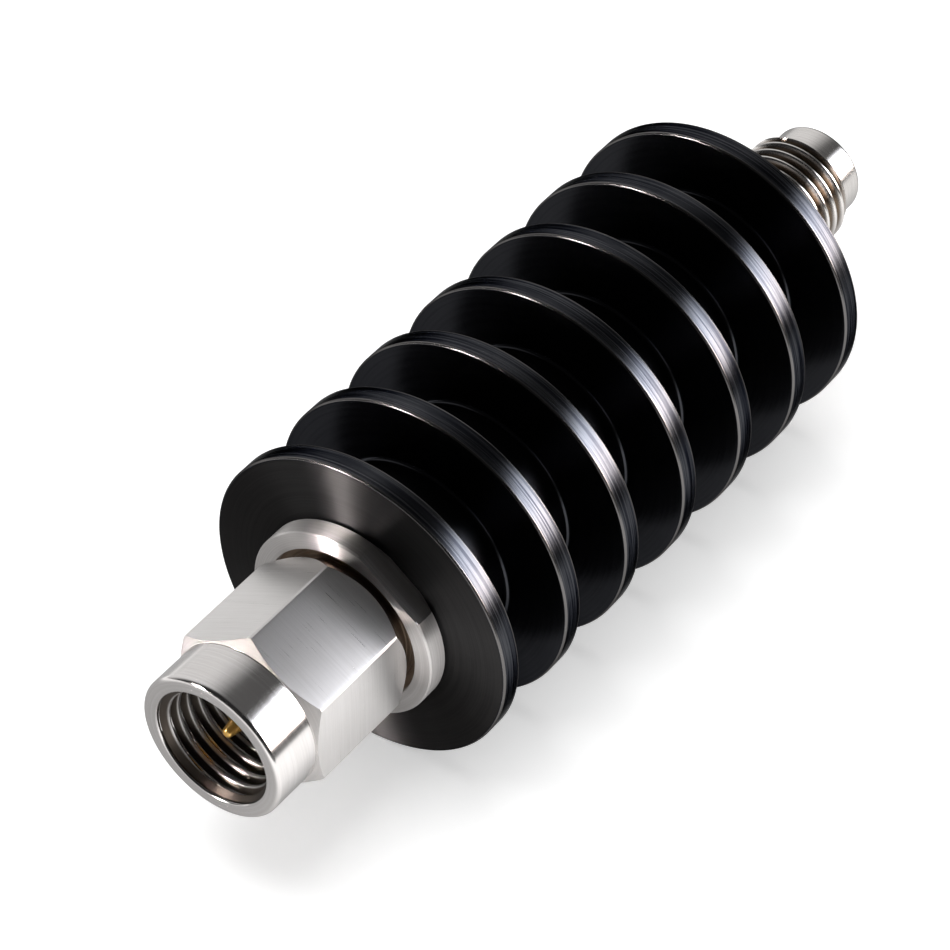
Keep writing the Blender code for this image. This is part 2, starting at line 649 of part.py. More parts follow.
def ground_spring(name, side):
    """Wavy strip that presses one edge of the chip down on its seat."""
    start = chip_front + SPRING_END_GAP
    length = chip_rear - SPRING_END_GAP - start
    count = SPRING_WAVES * SPRING_STEPS
    swing = (SPRING_HEIGHT - SPRING_THICKNESS) / 2
    base = chip_top + SEAT_GAP + swing
    lower = []
    for step in range(count + 1):
        phase = 2 * math.pi * SPRING_WAVES * step / count
        lower.append((start + length * step / count, base - swing * math.cos(phase)))
    upper = [(x, z + SPRING_THICKNESS) for x, z in reversed(lower)]
    outer = side * (CHIP_WIDTH / 2 - POCKET_SIDE_GAP)
    inner = outer - side * SPRING_WIDTH
    bm = extruded_mesh(lower + upper, "Y", SPRING_WIDTH, min(inner, outer))
    return finish_mesh(name, bm, GOLD)


def build():
    clear_scene()
    heat_sink()
    plug_shell()
    coupling_nut()
    nut_snap_ring()
    nut_gasket()
    plug_pin()
    bead("plug_bead", 0.0, 1)
    bushing("plug_bushing", 0.0, plug_stub_end, 1)
    contact("plug_contact", chip_front - CONTACT_STANDOFF, chip_front, 1)
    ground_washer("front_ground_washer", plug_stub_end, 1)
    carrier_upper()
    carrier_lower()
    attenuator_chip()
    ground_spring("ground_spring_left", 1)
    ground_spring("ground_spring_right", -1)
    ground_washer("rear_ground_washer", jack_stub_end, -1)
    contact("jack_contact", chip_rear + CONTACT_STANDOFF, chip_rear, -1)
    bushing("jack_bushing", jack_reference, jack_stub_end, -1)
    bead("jack_bead", jack_reference, -1)
    jack_socket()
    jack_shell()


build()
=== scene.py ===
"""Looks of the finned coaxial attenuator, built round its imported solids.

The axis runs along +X from the plug to the jack, +Z is up, and the plug's reference face is at x = 0.
Sizes are in millimetres and become metres where the meshes are made.
"""
import math

import bmesh
import bpy
from mathutils import Matrix, Vector


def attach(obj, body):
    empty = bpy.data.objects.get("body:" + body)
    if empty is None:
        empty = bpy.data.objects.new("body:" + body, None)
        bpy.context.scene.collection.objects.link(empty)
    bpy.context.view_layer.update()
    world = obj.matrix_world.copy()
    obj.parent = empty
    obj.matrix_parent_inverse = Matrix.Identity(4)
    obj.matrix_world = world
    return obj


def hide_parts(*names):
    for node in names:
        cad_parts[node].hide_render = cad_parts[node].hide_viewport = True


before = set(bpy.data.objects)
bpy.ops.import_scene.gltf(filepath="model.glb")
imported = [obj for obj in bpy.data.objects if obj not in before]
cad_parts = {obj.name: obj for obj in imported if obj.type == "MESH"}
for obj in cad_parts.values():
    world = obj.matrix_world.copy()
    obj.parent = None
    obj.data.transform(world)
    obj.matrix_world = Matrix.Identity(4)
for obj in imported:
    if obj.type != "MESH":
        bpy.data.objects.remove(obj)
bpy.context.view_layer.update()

MM = 0.001

# Sizes shared with the solids
SEAT_GAP = 0.02
FIN_COUNT = 7
FIN_PITCH = 4.90
FIN_THICKNESS = 1.16
FIN_RADIUS = 8.40
FIN_CHAMFER = 0.12
HUB_RADIUS = 5.05
ROOT_FILLET = 0.20
SINK_FRONT = 7.60
SINK_REAR = 38.16
STUB_HOLE = 3.90
HOLE_CHAMFER = 0.15
CARRIER_HOLE = 3.30
FRONT_STEP = 14.60
REAR_STEP = 31.16
AIR_BORE = 1.75
POCKET = 2.15
BEAD_SETBACK = 3.00
BEAD_THICKNESS = 1.58
SPIGOT = 2.30
SPIGOT_CHAMFER = 0.10
SHOULDER = 2.87
BARREL = 2.70
RING_GROOVE = (4.02, 4.98)
RING_GROOVE_RADIUS = 2.45
RECESS_FLOOR = 6.87
RECESS_RADIUS = 4.26
RECESS_FILLET = 0.25
RECESS_RINGS = (3.32, 3.56, 3.80)
RECESS_RING_DEPTH = 0.05
RECESS_RING_HALVES = (0.07, 0.03)    # half widths at the mouth and at the bottom
FLANGE_FRONT = 6.27
FLANGE_RADIUS = 5.19
FLANGE_CHAMFER = 0.08
FLAT_DISTANCE = 4.75
FLATS_ANGLE = 126.0
UNDERCUT_WIDTH = 0.24
UNDERCUT_RADIUS = 4.86
PLUG_SEAT = 7.58
STUB_RADIUS = 3.85
STUB_CHAMFER = 0.25
PLUG_STUB_END = 14.58
JACK_STUB_END = 31.18
JACK_SEAT = 38.18
JACK_FLANGE_END = 39.49
JACK_NECK = 2.755
THREAD_START = 40.39
THREAD_END = 46.19
JACK_CREST = 3.13
COLLAR = 2.62
JACK_END = 47.70
JACK_ROUND = 0.18
JACK_REFERENCE = 45.75
JACK_RECESS_RADIUS = 2.33
JACK_MOUTH_CHAMFER = 0.06
NUT_FRONT = -3.40
NUT_REAR = 6.10
NOSE_END = -0.66
NOSE_RADIUS = 3.95
NOSE_GROOVE = (0.10, 0.07, 0.02)     # places before the nose's end
NOSE_GROOVE_DEPTH = 0.05
HEX_APOTHEM = 4.00
HEX_CORNER = 4.54
FLAT_CROWN = 0.04
FRONT_CHAMFER = 37.0     # degrees
REAR_CHAMFER = 48.0
NUT_REAR_FACE = 3.90
MOUTH_RADIUS = 3.14
LIP_ROUND = 0.24
MOUTH_ROUND = 0.14
MOUTH_WALL = 0.05        # plain length between the mouth's round and the thread
NUT_MINOR = 2.80
NUT_BORE = 2.78
NUT_BORE_CHAMFER = 0.15
NUT_RELIEF = (1.70, 3.10)
NUT_RELIEF_RADIUS = 3.30
NUT_GROOVE = (4.22, 4.78)
NUT_GROOVE_RADIUS = 3.05
PIN_TIP = -2.27
PIN_TIP_RADIUS = 0.27
PIN_TIP_ROUND = 0.16
PIN_RADIUS = 0.46
CORE_RADIUS = 0.76
CORE_WAIST = 0.55        # inside the bead
TAIL_RADIUS = 0.50
TAIL_LENGTH = 1.50
PLUG_CONTACT_FLOOR = 14.56
JACK_CONTACT_FLOOR = 31.20
SOCKET_SETBACK = 0.05
SOCKET_DEPTH = 2.40
SOCKET_BORE = 0.48
SOCKET_MOUTH = (0.56, 0.68)
SOCKET_EDGE = 0.08
SOCKET_SLOT = (3.80, 0.10)           # length of the cutting block and half its width
BEAD_RADII = (0.58, 2.12)
GASKET = (2.05, 2.85)
GASKET_BORE = 2.33
GASKET_OUTER = 3.20
GASKET_ROUND = 0.12

# Thread, 1/4-36
PITCH = 25.4 / 36
THREAD_DEPTH = 0.375
THREAD_ROUNDING = 0.35   # share of the flank's form that is a smooth curve
ROWS_PER_PITCH = 20


# Mesh building
def arc(x, r, radius, start, end, steps=6):
    """Points on an arc in the axis-radius plane, with 0 degrees along +X and 90 outward."""
    points = []
    for step in range(steps + 1):
        angle = math.radians(start + (end - start) * step / steps)
        points.append((x + radius * math.cos(angle), r + radius * math.sin(angle)))
    return points


def even_columns(count):
    return [360.0 * j / count for j in range(count)]


def columns_with(count, extra):
    """Evenly spaced column angles, with the nearest ones moved out of the way of the extra angles."""
    step = 360.0 / count
    kept = []
    for angle in even_columns(count):
        gap = min(abs((angle - e + 180.0) % 360.0 - 180.0) for e in extra)
        if gap > 0.45 * step:
            kept.append(angle)
    return sorted(kept + [e % 360.0 for e in extra])


def place(bm, x, r, angle):
    a = math.radians(angle)
    return bm.verts.new((x * MM, r * math.cos(a) * MM, r * math.sin(a) * MM))


def ring_rows(bm, columns, rows, closed):
    """Join rows of (x, r) functions of the column angle. A row with r = 0 is one vertex."""
    made = []
    for row in rows:
        points = [row(angle) if callable(row) else row for angle in columns]
        if points[0][1] == 0.0:
            made.append([place(bm, points[0][0], 0.0, 0.0)])
        else:
            made.append([place(bm, x, r, angle) for (x, r), angle in zip(points, columns)])
    pairs = list(zip(made, made[1:]))
    if closed:
        pairs.append((made[-1], made[0]))
    count = len(columns)
    for low, high in pairs:
        for j in range(count):
            k = (j + 1) % count
            if len(low) == 1 and len(high) == 1:
                continue
            if len(low) == 1:
                bm.faces.new((low[0], high[j], high[k]))
            elif len(high) == 1:
                bm.faces.new((low[j], high[0], low[k]))
            else:
                bm.faces.new((low[j], high[j], high[k], low[k]))


def helix_rows(bm, columns, start, end, radius_at, start_radius, end_radius):
    """A right-handed thread between two places, closed onto a plain ring at each end."""
    turns = (end - start) / PITCH
    rows = math.ceil((turns + 2) * ROWS_PER_PITCH)
    grid = []
    for i in range(rows + 1):
        line = []
        for angle in columns:
            x = start - PITCH + (i / ROWS_PER_PITCH + angle / 360.0) * PITCH
            if x <= start:
                line.append(place(bm, start, start_radius, angle))
            elif x >= end:
                line.append(place(bm, end, end_radius, angle))
            else:
                line.append(place(bm, x, radius_at(x, i / ROWS_PER_PITCH % 1.0), angle))
        grid.append(line)
    last = len(columns) - 1
    for i in range(rows):
        for j in range(last):
            bm.faces.new((grid[i][j], grid[i + 1][j], grid[i + 1][j + 1], grid[i][j + 1]))
        if i + 1 + ROWS_PER_PITCH <= rows:
            bm.faces.new((grid[i][last], grid[i + 1][last],
                          grid[i + 1 + ROWS_PER_PITCH][0], grid[i + ROWS_PER_PITCH][0]))


def tidy(bm):
    bmesh.ops.remove_doubles(bm, verts=bm.verts, dist=2e-7)
    bmesh.ops.dissolve_degenerate(bm, edges=bm.edges, dist=1e-8)
    loose = [v for v in bm.verts if not v.link_faces]
    bmesh.ops.delete(bm, geom=loose, context="VERTS")
    bmesh.ops.recalc_face_normals(bm, faces=bm.faces)


def piece(name, bm, look, body, replaced, sharp=20.0):
    tidy(bm)
    mesh = bpy.data.meshes.new(name)
    bm.to_mesh(mesh)
    bm.free()
    mesh.materials.append(look)
    mesh.shade_smooth()
    mesh.set_sharp_from_angle(angle=math.radians(sharp))
    obj = bpy.data.objects.new(name, mesh)
    bpy.context.scene.collection.objects.link(obj)
    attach(obj, body)
    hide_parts(*replaced)
    return obj


def turned(name, outline, look, replaced, segments=192, body="body", closed=True):
    bm = bmesh.new()
    ring_rows(bm, even_columns(segments), outline, closed)
    return piece(name, bm, look, body, replaced)


def dress(obj, looks, choose):
    """Add looks to a piece. choose(x, radius, lean) numbers each face's look, and 0 is the first one."""
    for look in looks:
        obj.data.materials.append(look)
    for polygon in obj.data.polygons:
        middle = polygon.center / MM
        radius = math.hypot(middle.y, middle.z)
        polygon.material_index = choose(middle.x, radius, abs(polygon.normal.x))


# Materials
class Nodes:
    """Short hand for making and linking shader nodes."""

    def __init__(self, tree):
        self.tree = tree

    def add(self, kind, **settings):
        node = self.tree.nodes.new(kind)
        for key, value in settings.items():
            setattr(node, key, value)
        return node

    def link(self, source, target):
        self.tree.links.new(source, target)

    def math(self, operation, a, b=None, clamp=False):
        node = self.add("ShaderNodeMath", operation=operation, use_clamp=clamp)
        for socket, value in zip(node.inputs, (a, b)):
            if value is None:
                continue
            if isinstance(value, (int, float)):
                socket.default_value = value
            else:
                self.link(value, socket)
        return node.outputs[0]

    def dot(self, vector, direction):
        node = self.add("ShaderNodeVectorMath", operation="DOT_PRODUCT")
        self.link(vector, node.inputs[0])
        node.inputs[1].default_value = direction
        return node.outputs["Value"]

    def ramp(self, value, low, high, out_low=0.0, out_high=1.0):
        node = self.add("ShaderNodeMapRange", interpolation_type="SMOOTHSTEP")
        for key, number in (("From Min", low), ("From Max", high), ("To Min", out_low), ("To Max", out_high)):
            node.inputs[key].default_value = number
        self.link(value, node.inputs["Value"])
        return node.outputs["Result"]

    def mix(self, factor, first, second):
        node = self.add("ShaderNodeMix", data_type="RGBA")
        self.link(factor, node.inputs["Factor"])
        for key, value in (("A", first), ("B", second)):
            socket = [s for s in node.inputs if s.name == key and s.type == "RGBA"][0]
            if isinstance(value, tuple):
                socket.default_value = value
            else:
                self.link(value, socket)
        return [s for s in node.outputs if s.type == "RGBA"][0]

    def noise(self, vector, scale, detail=2.0, rough=0.5):
        node = self.add("ShaderNodeTexNoise")
        node.inputs["Scale"].default_value = scale
        node.inputs["Detail"].default_value = detail
        node.inputs["Roughness"].default_value = rough
        self.link(vector, node.inputs["Vector"])
        return node.outputs["Fac"]


def coordinates(n):
    """Millimetres along the axis and from it, and the share of the surface that faces along it."""
    where = n.add("ShaderNodeTexCoord").outputs["Object"]
    scaled = n.add("ShaderNodeVectorMath", operation="SCALE")
    scaled.inputs["Scale"].default_value = 1.0 / MM
    n.link(where, scaled.inputs[0])
    split = n.add("ShaderNodeSeparateXYZ")
    n.link(scaled.outputs[0], split.inputs[0])
    x, y, z = split.outputs
    radius = n.math("SQRT", n.math("ADD", n.math("MULTIPLY", y, y), n.math("MULTIPLY", z, z)))
    normal = n.add("ShaderNodeSeparateXYZ")
    n.link(n.add("ShaderNodeNewGeometry").outputs["True Normal"], normal.inputs[0])
    facing = n.math("GREATER_THAN", n.math("ABSOLUTE", normal.outputs[0]), 0.55)
    return scaled.outputs[0], x, y, z, radius, facing


def tool_marks(n, x, y, z, radius, facing, density, wander=0.10):
    """Fine lines left by turning: along the axis on round faces, along the radius on end faces."""
    along = n.add("ShaderNodeMix", data_type="FLOAT")
    n.link(facing, along.inputs["Factor"])
    floats = [s for s in along.inputs if s.type == "VALUE" and s.name in ("A", "B")]
    n.link(x, floats[0])
    n.link(radius, floats[1])
    line = [s for s in along.outputs if s.type == "VALUE"][0]
    vector = n.add("ShaderNodeCombineXYZ")
    n.link(n.math("MULTIPLY", line, density), vector.inputs[0])
    n.link(n.math("MULTIPLY", y, wander), vector.inputs[1])
    n.link(n.math("MULTIPLY", z, wander), vector.inputs[2])
    return n.noise(vector.outputs[0], 1.0, 4.0, 0.65)


def shader(name):
    made = bpy.data.materials.new(name)
    made.use_nodes = True
    tree = made.node_tree
    return made, Nodes(tree), tree.nodes["Principled BSDF"]


def metal(name, colour, dark, roughness, spread, anisotropic, density, depth, painted_hollow_shade=None,
          wander=0.10, contrast=0.16, edge=1.0):
    """Metal with fine tool marks round the axis and slow colour changes.

    The hollow shade argument is a darker colour painted into the hollows as shade, the radii between which it
    comes and goes, and its range along the axis.
    A lower contrast makes harder lines, and edge dims the gloss at a flat angle.
    """
    made, n, bsdf = shader(name)
    mm, x, y, z, radius, facing = coordinates(n)
    marks = tool_marks(n, x, y, z, radius, facing, density, wander)
    clouds = n.ramp(n.noise(mm, 0.35, 3.0), 0.35, 0.7, 0.0, 0.25)
    lines = n.ramp(marks, 0.5 - contrast, 0.5 + contrast, 0.0, 0.75)
    shade = n.mix(n.math("ADD", lines, clouds), dark, colour)
    # Painted shade: a darker, brownish colour laid into hollows such as thread roots, bores and recesses,
    # between the given radii and places along the axis.
    if painted_hollow_shade:
        painted_shade_colour, (rise, full, fall, clear), (start, end) = painted_hollow_shade
        painted_shade_depth = n.math("MULTIPLY", n.ramp(radius, rise, full), n.ramp(radius, fall, clear, 1.0, 0.0))
        inside = n.math("MULTIPLY", n.ramp(x, start, start + 0.4), n.ramp(x, end - 0.4, end, 1.0, 0.0))
        shade = n.mix(n.math("MULTIPLY", painted_shade_depth, inside), shade, painted_shade_colour)
    n.link(shade, bsdf.inputs["Base Color"])
    n.link(n.ramp(marks, 0.25, 0.75, roughness - spread, roughness + spread), bsdf.inputs["Roughness"])
    bump = n.add("ShaderNodeBump")
    bump.inputs["Strength"].default_value = 1.0
    bump.inputs["Distance"].default_value = depth * MM
    n.link(marks, bump.inputs["Height"])
    n.link(bump.outputs["Normal"], bsdf.inputs["Normal"])
    if anisotropic:
        tangent = n.add("ShaderNodeTangent", direction_type="RADIAL", axis="X")
        n.link(tangent.outputs[0], bsdf.inputs["Tangent"])
        bsdf.inputs["Anisotropic"].default_value = anisotropic
        bsdf.inputs["Anisotropic Rotation"].default_value = 0.25
    bsdf.inputs["Metallic"].default_value = 1.0
    bsdf.inputs["Specular Tint"].default_value = (edge, edge, edge, 1)
    return made


def moulded(name, colour, dark, roughness, grain):
    """Plastic, rubber or ceramic with a fine grain and slow colour changes."""
    made, n, bsdf = shader(name)
    mm = coordinates(n)[0]
    n.link(n.mix(n.ramp(n.noise(mm, 1.2, 3.0), 0.35, 0.7), dark, colour), bsdf.inputs["Base Color"])
    fine = n.noise(mm, 18.0, 3.0, 0.6)
    n.link(n.ramp(fine, 0.2, 0.8, roughness - 0.08, roughness + 0.08), bsdf.inputs["Roughness"])
    bump = n.add("ShaderNodeBump")
    bump.inputs["Distance"].default_value = grain * MM
    n.link(fine, bump.inputs["Height"])
    n.link(bump.outputs["Normal"], bsdf.inputs["Normal"])
    return made


black_rim = metal("black_anodised", (0.066, 0.068, 0.074, 1), (0.013, 0.014, 0.018, 1),
                  0.26, 0.05, 0.75, 11.0, 0.0015, contrast=0.10, edge=0.25)
black_face = metal("black_anodised_between_fins", (0.046, 0.047, 0.052, 1), (0.032, 0.033, 0.037, 1),
                   0.23, 0.02, 0.40, 9.0, 0.0005, edge=0.25)
black_front = metal("black_anodised_front", (0.052, 0.050, 0.050, 1), (0.038, 0.037, 0.037, 1),
                    0.42, 0.02, 1.0, 14.0, 0.0005, edge=0.25)
# A lighter copy of the anodised look for the fins' rounded edges: painted highlight lines.
painted_highlight_black_edge = metal("black_anodised_edge_painted_highlight", (0.150, 0.144, 0.142, 1), (0.110, 0.106, 0.105, 1),
                   0.26, 0.02, 0.80, 9.0, 0.0005, edge=0.25)
nut_steel = metal("nut_steel", (0.70, 0.675, 0.665, 1), (0.61, 0.585, 0.57, 1), 0.18, 0.03, 0.85, 18.0,
                  0.0008, contrast=0.20)
flat_steel = metal("flat_steel", (0.72, 0.70, 0.69, 1), (0.62, 0.60, 0.585, 1), 0.30, 0.03, 0.50, 18.0,
                   0.0003, wander=0.20, contrast=0.26)
chamfer_steel = metal("chamfer_steel", (0.72, 0.70, 0.69, 1), (0.64, 0.62, 0.605, 1), 0.70, 0.03, 0.0, 16.0,
                      0.0004)
# The nut's thread is painted dark between its crest lines, as shade inside the bore.
thread_steel = metal("thread_steel", (0.74, 0.715, 0.70, 1), (0.62, 0.595, 0.58, 1), 0.42, 0.03, 0.80, 18.0,
                     0.0004, painted_hollow_shade=((0.09, 0.074, 0.062, 1), (2.80, 2.90, 3.34, 3.40), (-3.7, 6.0)))
# The plug body is painted darker brown on the barrel and in the recess under the nut's rear, as shade.
shell_steel = metal("shell_steel", (0.70, 0.675, 0.665, 1), (0.57, 0.545, 0.53, 1), 0.41, 0.02, 1.0, 17.0,
                    0.0010, painted_hollow_shade=((0.30, 0.22, 0.16, 1), (2.40, 2.60, 4.20, 4.30), (-0.5, 7.4)))
# The jack's thread is painted darker brown in its roots, as shade.
jack_steel = metal("jack_steel", (0.70, 0.675, 0.655, 1), (0.57, 0.545, 0.525, 1), 0.20, 0.03, 0.85, 15.0,
                   0.0010, painted_hollow_shade=((0.17, 0.13, 0.095, 1), (2.70, 2.72, 2.90, 3.10), (40.0, 46.0)))
# A darker copy of the jack's steel for its end's rounding: painted shade that draws a grey line round the end.
painted_shade_edge = metal("painted_shade_edge", (0.20, 0.19, 0.18, 1), (0.16, 0.15, 0.14, 1), 0.22, 0.02, 0.0, 9.0, 0.0004)
gold = metal("gold_plate", (1.0, 0.63, 0.19, 1), (0.93, 0.56, 0.15, 1), 0.34, 0.03, 0.9, 8.0, 0.0008)
brass = metal("ring_metal", (0.70, 0.52, 0.26, 1), (0.62, 0.45, 0.21, 1), 0.30, 0.05, 0.3, 8.0, 0.001)
aluminium = metal("bare_aluminium", (0.80, 0.80, 0.81, 1), (0.72, 0.72, 0.73, 1), 0.32, 0.06, 0.0, 6.0, 0.002)
ceramic = moulded("ceramic", (0.88, 0.87, 0.84, 1), (0.82, 0.80, 0.76, 1), 0.55, 0.002)
amber = moulded("amber_plastic", (0.55, 0.30, 0.09, 1), (0.45, 0.23, 0.06, 1), 0.30, 0.001)
rubber = moulded("gasket_rubber", (0.05, 0.05, 0.05, 1), (0.035, 0.035, 0.035, 1), 0.65, 0.004)

KEPT_NODES = {
    "nut_snap_ring": brass, "plug_bushing": brass, "jack_bushing": brass, "plug_contact": gold,
    "jack_contact": gold, "front_ground_washer": gold, "rear_ground_washer": gold,
    "ground_spring_left": gold, "ground_spring_right": gold, "carrier_upper": aluminium,
    "carrier_lower": aluminium, "attenuator_chip": ceramic,
}
for node_name, look in KEPT_NODES.items():
    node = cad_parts[node_name]
    node.data.materials.clear()
    node.data.materials.append(look)


# Heat sink
def make_heat_sink():
    outline = [(SINK_FRONT, STUB_HOLE + HOLE_CHAMFER)]
    for fin in range(FIN_COUNT):
        front = SINK_FRONT + fin * FIN_PITCH
        rear = front + FIN_THICKNESS
        if fin > 0:
            outline += arc(front - ROOT_FILLET, HUB_RADIUS + ROOT_FILLET, ROOT_FILLET, 270, 360)
        outline += arc(front + FIN_CHAMFER, FIN_RADIUS - FIN_CHAMFER, FIN_CHAMFER, 180, 90, 5)
        outline += arc(rear - FIN_CHAMFER, FIN_RADIUS - FIN_CHAMFER, FIN_CHAMFER, 90, 0, 5)
        if fin < FIN_COUNT - 1:
            outline += arc(rear + ROOT_FILLET, HUB_RADIUS + ROOT_FILLET, ROOT_FILLET, 180, 270)
    outline += [(SINK_REAR, STUB_HOLE + HOLE_CHAMFER), (SINK_REAR - HOLE_CHAMFER, STUB_HOLE),
                (REAR_STEP, STUB_HOLE), (REAR_STEP, CARRIER_HOLE), (FRONT_STEP, CARRIER_HOLE),
                (FRONT_STEP, STUB_HOLE), (SINK_FRONT + HOLE_CHAMFER, STUB_HOLE)]
    body = turned("finned_body", outline, black_rim, ["heat_sink"], segments=320)

    def choose(x, radius, lean):
        # Look 3, the fins' rounded edges, is the lighter copy with the painted highlight.
        if radius > FIN_RADIUS - FIN_CHAMFER and 0.10 < lean < 0.97:
            return 3
        if lean > 0.99 and x < SINK_FRONT + 0.01:
            return 2
        return 1 if radius < FIN_RADIUS - FIN_CHAMFER else 0

    dress(body, (black_face, black_front, painted_highlight_black_edge), choose)


# Shells
def flat_radius(angle):
    """Distance from the axis to the nearer wrench flat's plane in a column, or a large value."""
    gap = abs((angle - FLATS_ANGLE + 90.0) % 180.0 - 90.0)
    return FLAT_DISTANCE / max(math.cos(math.radians(gap)), 0.1)


def cut(x, r):
    """A row of points that the wrench flats cut back."""
    return lambda angle: (x, min(r, flat_radius(angle)))


def flange_columns(count):
    extra = []
    for r in (FLANGE_RADIUS, FLANGE_RADIUS - FLANGE_CHAMFER, UNDERCUT_RADIUS):
        half = math.degrees(math.acos(FLAT_DISTANCE / r))
        for side in (0.0, 180.0):
            extra += [FLATS_ANGLE + side - half, FLATS_ANGLE + side + half]
    return columns_with(count, extra)


def make_plug_shell():
    rows = [(0.0, AIR_BORE), (0.0, SPIGOT - SPIGOT_CHAMFER), (SPIGOT_CHAMFER, SPIGOT), (SHOULDER, SPIGOT),
            (SHOULDER, BARREL), (RING_GROOVE[0], BARREL), (RING_GROOVE[0], RING_GROOVE_RADIUS),
            (RING_GROOVE[1], RING_GROOVE_RADIUS), (RING_GROOVE[1], BARREL)]
    rows += arc(RECESS_FLOOR - RECESS_FILLET, BARREL + RECESS_FILLET, RECESS_FILLET, 270, 360, 5)
    wide, narrow = RECESS_RING_HALVES
    for ring in RECESS_RINGS:
        rows += [(RECESS_FLOOR, ring - wide), (RECESS_FLOOR - RECESS_RING_DEPTH, ring - narrow),
                 (RECESS_FLOOR - RECESS_RING_DEPTH, ring + narrow), (RECESS_FLOOR, ring + wide)]
    rows += arc(RECESS_FLOOR - RECESS_FILLET, RECESS_RADIUS - RECESS_FILLET, RECESS_FILLET, 0, 90, 5)
    rows += [(FLANGE_FRONT, RECESS_RADIUS), cut(FLANGE_FRONT, FLANGE_RADIUS - FLANGE_CHAMFER),
             cut(FLANGE_FRONT + FLANGE_CHAMFER, FLANGE_RADIUS), cut(PLUG_SEAT - UNDERCUT_WIDTH, FLANGE_RADIUS),
             cut(PLUG_SEAT - UNDERCUT_WIDTH, UNDERCUT_RADIUS), cut(PLUG_SEAT, UNDERCUT_RADIUS),
             (PLUG_SEAT, STUB_RADIUS), (PLUG_STUB_END - STUB_CHAMFER, STUB_RADIUS),
             (PLUG_STUB_END, STUB_RADIUS - STUB_CHAMFER), (PLUG_STUB_END, POCKET), (BEAD_SETBACK, POCKET),
             (BEAD_SETBACK, AIR_BORE)]
    bm = bmesh.new()
    ring_rows(bm, flange_columns(256), rows, True)
    piece("plug_body", bm, shell_steel, "body", ["plug_shell"])


def thread_rise(phase, foot, flank):
    """0 at the root and 1 at the crest. foot and flank are shares of half a pitch, from the crest."""
    from_crest = abs(phase - 0.5) * 2.0
    rise = min(max((foot - from_crest) / flank, 0.0), 1.0)
    return rise * rise * (3.0 - 2.0 * rise) * THREAD_ROUNDING + rise * (1.0 - THREAD_ROUNDING)


def outer_thread(x, phase):
    """Radius of the jack's thread: rounded root, straight flanks, narrow rounded crest."""
    full = JACK_CREST - THREAD_DEPTH * (1.0 - thread_rise(phase, 0.86, 0.72))
    start_cone = JACK_NECK + x - THREAD_START
    end_cone = COLLAR + THREAD_END - x
    return min(full, start_cone, end_cone)


def make_jack_shell():
    columns = flange_columns(256)
    bead_front = JACK_REFERENCE - BEAD_SETBACK
    bm = bmesh.new()
    before = [(JACK_STUB_END, POCKET), (JACK_STUB_END, STUB_RADIUS - STUB_CHAMFER),
              (JACK_STUB_END + STUB_CHAMFER, STUB_RADIUS), (JACK_SEAT, STUB_RADIUS),
              cut(JACK_SEAT, UNDERCUT_RADIUS),
              cut(JACK_SEAT + UNDERCUT_WIDTH, UNDERCUT_RADIUS), cut(JACK_SEAT + UNDERCUT_WIDTH, FLANGE_RADIUS),
              cut(JACK_FLANGE_END - FLANGE_CHAMFER, FLANGE_RADIUS),
              cut(JACK_FLANGE_END, FLANGE_RADIUS - FLANGE_CHAMFER), (JACK_FLANGE_END, JACK_NECK),
              (THREAD_START, JACK_NECK)]
    after = [(THREAD_END, COLLAR)] + arc(JACK_END - JACK_ROUND, COLLAR - JACK_ROUND, JACK_ROUND, 90, 0)
    after += [(JACK_END, JACK_RECESS_RADIUS + JACK_MOUTH_CHAMFER),
              (JACK_END - JACK_MOUTH_CHAMFER, JACK_RECESS_RADIUS), (JACK_REFERENCE, JACK_RECESS_RADIUS),
              (JACK_REFERENCE, AIR_BORE), (bead_front, AIR_BORE), (bead_front, POCKET), (JACK_STUB_END, POCKET)]
    ring_rows(bm, columns, before, False)
    ring_rows(bm, columns, after, False)
    helix_rows(bm, columns, THREAD_START, THREAD_END, outer_thread, JACK_NECK, COLLAR)
    jack = piece("jack_body", bm, jack_steel, "body", ["jack_shell"], sharp=32.0)
    # The end's rounding gets the darker copy of the steel, painted shade.
    dress(jack, (painted_shade_edge,), lambda x, radius, lean: 1 if x > JACK_END - JACK_ROUND else 0)


# Coupling nut
def hex_gap(angle):
    """Degrees from the middle of the nearest flat. A corner of the hexagon is at the top."""
    return abs(angle % 60.0 - 60.0) if angle % 60.0 > 30.0 else angle % 60.0


def hex_radius(angle):
    """The flats are crowned by a few hundredths of a millimetre, as polished ones are."""
    gap = math.radians(hex_gap(angle))
    across = math.tan(gap) / math.tan(math.radians(30.0))
    return min((HEX_APOTHEM - FLAT_CROWN * across * across) / math.cos(gap), HEX_CORNER)


def inner_thread(x, phase):
    """Radius of the nut's thread: the crests stand inwards at its minor diameter."""
    full = NUT_MINOR + THREAD_DEPTH * (1.0 - thread_rise(phase, 0.84, 0.66))
    entry = MOUTH_RADIUS - (x - NUT_FRONT - MOUTH_ROUND - MOUTH_WALL)
    runout = NUT_RELIEF_RADIUS - (NUT_RELIEF[0] - x)
    return max(full, entry, runout)


